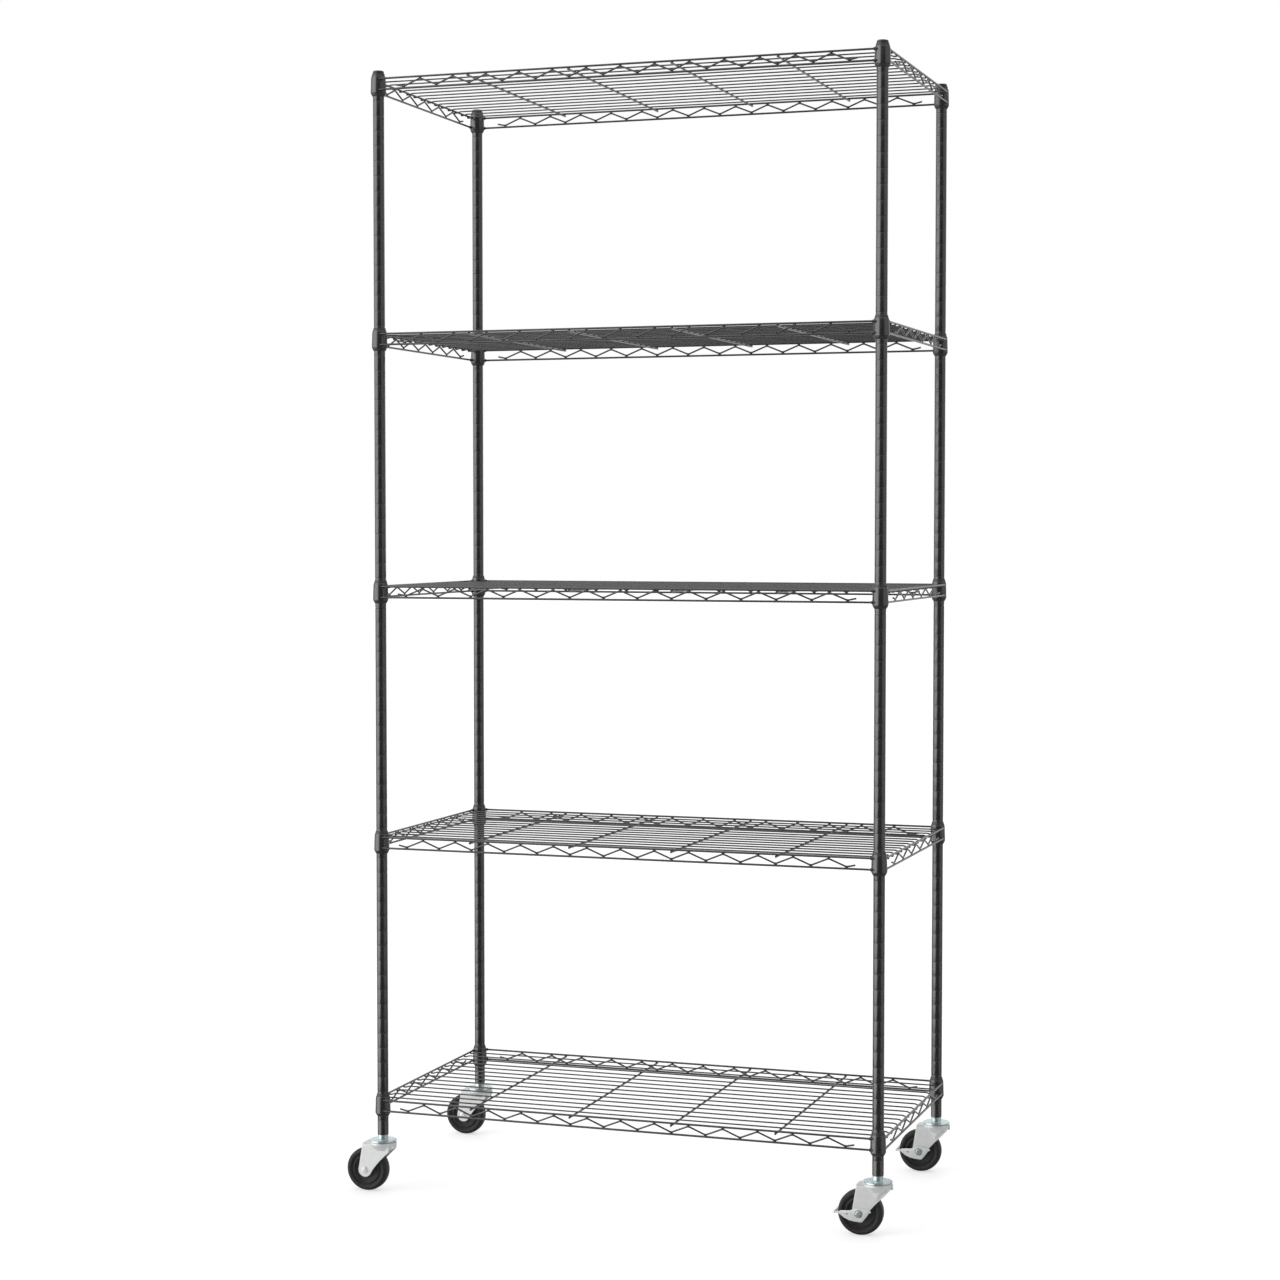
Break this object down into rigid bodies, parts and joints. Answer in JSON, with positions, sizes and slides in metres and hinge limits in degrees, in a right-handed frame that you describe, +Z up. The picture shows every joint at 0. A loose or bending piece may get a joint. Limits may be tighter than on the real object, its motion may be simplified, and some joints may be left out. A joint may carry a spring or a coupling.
{
  "type": "wire shelving rack",
  "caption": "Wire shelving rack with welded wire shelves on grooved round posts, standing on swivel casters, some with foot brakes.",
  "frame": {"origin": "on the floor, under the middle of the whole outline", "axes": "+Z up, +X to the right along the shelves, -Y to the front; the caster wheels trail to -X"},
  "size_m": [0.9704, 0.488, 1.9278],
  "materials": {
    "powder_coat": "satin black powder coat",
    "black_plastic": "fine matte",
    "zinc": "bright zinc plate",
    "wheel_rubber": "dark satin"
  },
  "bodies": {
    "rack": {"shelf_1": "powder_coat", "shelf_2": "powder_coat", "shelf_3": "powder_coat", "shelf_4": "powder_coat", "shelf_5": "powder_coat", "post_lower_front_left": "powder_coat", "post_upper_front_left": "powder_coat", "post_coupling_front_left": "zinc", "post_cap_front_left": "black_plastic", "sleeve_1_front_left": "black_plastic", "sleeve_2_front_left": "black_plastic", "sleeve_3_front_left": "black_plastic", "sleeve_4_front_left": "black_plastic", "sleeve_5_front_left": "black_plastic", "caster_stem_front_left": "zinc", "post_lower_back_left": "powder_coat", "post_upper_back_left": "powder_coat", "post_coupling_back_left": "zinc", "post_cap_back_left": "black_plastic", "sleeve_1_back_left": "black_plastic", "sleeve_2_back_left": "black_plastic", "sleeve_3_back_left": "black_plastic", "sleeve_4_back_left": "black_plastic", "sleeve_5_back_left": "black_plastic", "caster_stem_back_left": "zinc", "post_lower_front_right": "powder_coat", "post_upper_front_right": "powder_coat", "post_coupling_front_right": "zinc", "post_cap_front_right": "black_plastic", "sleeve_1_front_right": "black_plastic", "sleeve_2_front_right": "black_plastic", "sleeve_3_front_right": "black_plastic", "sleeve_4_front_right": "black_plastic", "sleeve_5_front_right": "black_plastic", "caster_stem_front_right": "zinc", "post_lower_back_right": "powder_coat", "post_upper_back_right": "powder_coat", "post_coupling_back_right": "zinc", "post_cap_back_right": "black_plastic", "sleeve_1_back_right": "black_plastic", "sleeve_2_back_right": "black_plastic", "sleeve_3_back_right": "black_plastic", "sleeve_4_back_right": "black_plastic", "sleeve_5_back_right": "black_plastic", "caster_stem_back_right": "zinc"},
    "caster_front_left": {"caster_fork_front_left": "zinc", "caster_axle_front_left": "zinc"},
    "wheel_front_left": {"caster_wheel_front_left": "wheel_rubber"},
    "caster_back_left": {"caster_fork_back_left": "zinc", "caster_axle_back_left": "zinc"},
    "wheel_back_left": {"caster_wheel_back_left": "wheel_rubber"},
    "caster_front_right": {"caster_fork_front_right": "zinc", "caster_axle_front_right": "zinc"},
    "wheel_front_right": {"caster_wheel_front_right": "wheel_rubber"},
    "brake_front_right": {"brake_pedal_front_right": "zinc"},
    "caster_back_right": {"caster_fork_back_right": "zinc", "caster_axle_back_right": "zinc"},
    "wheel_back_right": {"caster_wheel_back_right": "wheel_rubber"},
    "brake_back_right": {"brake_pedal_back_right": "zinc"}
  },
  "joints": [
    {"name": "swivel_front_left", "type": "hinge", "parent": "rack", "child": "caster_front_left", "pos_m": [-0.41975, -0.22, 0.0874], "axis": [0, 0, 1], "continuous": true},
    {"name": "spin_front_left", "type": "hinge", "parent": "caster_front_left", "child": "wheel_front_left", "pos_m": [-0.44775, -0.22, 0.0375], "axis": [0, 1, 0], "continuous": true},
    {"name": "swivel_back_left", "type": "hinge", "parent": "rack", "child": "caster_back_left", "pos_m": [-0.41975, 0.22, 0.0874], "axis": [0, 0, 1], "continuous": true},
    {"name": "spin_back_left", "type": "hinge", "parent": "caster_back_left", "child": "wheel_back_left", "pos_m": [-0.44775, 0.22, 0.0375], "axis": [0, 1, 0], "continuous": true},
    {"name": "swivel_front_right", "type": "hinge", "parent": "rack", "child": "caster_front_right", "pos_m": [0.46025, -0.22, 0.0874], "axis": [0, 0, 1], "continuous": true},
    {"name": "spin_front_right", "type": "hinge", "parent": "caster_front_right", "child": "wheel_front_right", "pos_m": [0.43225, -0.22, 0.0375], "axis": [0, 1, 0], "continuous": true},
    {"name": "brake_front_right", "type": "hinge", "parent": "caster_front_right", "child": "brake_front_right", "pos_m": [0.43225, -0.22, 0.0375], "axis": [0, -1, 0], "range_deg": [0, 20]},
    {"name": "swivel_back_right", "type": "hinge", "parent": "rack", "child": "caster_back_right", "pos_m": [0.46025, 0.22, 0.0874], "axis": [0, 0, 1], "continuous": true},
    {"name": "spin_back_right", "type": "hinge", "parent": "caster_back_right", "child": "wheel_back_right", "pos_m": [0.43225, 0.22, 0.0375], "axis": [0, 1, 0], "continuous": true},
    {"name": "brake_back_right", "type": "hinge", "parent": "caster_back_right", "child": "brake_back_right", "pos_m": [0.43225, 0.22, 0.0375], "axis": [0, -1, 0], "range_deg": [0, 20]}
  ]
}
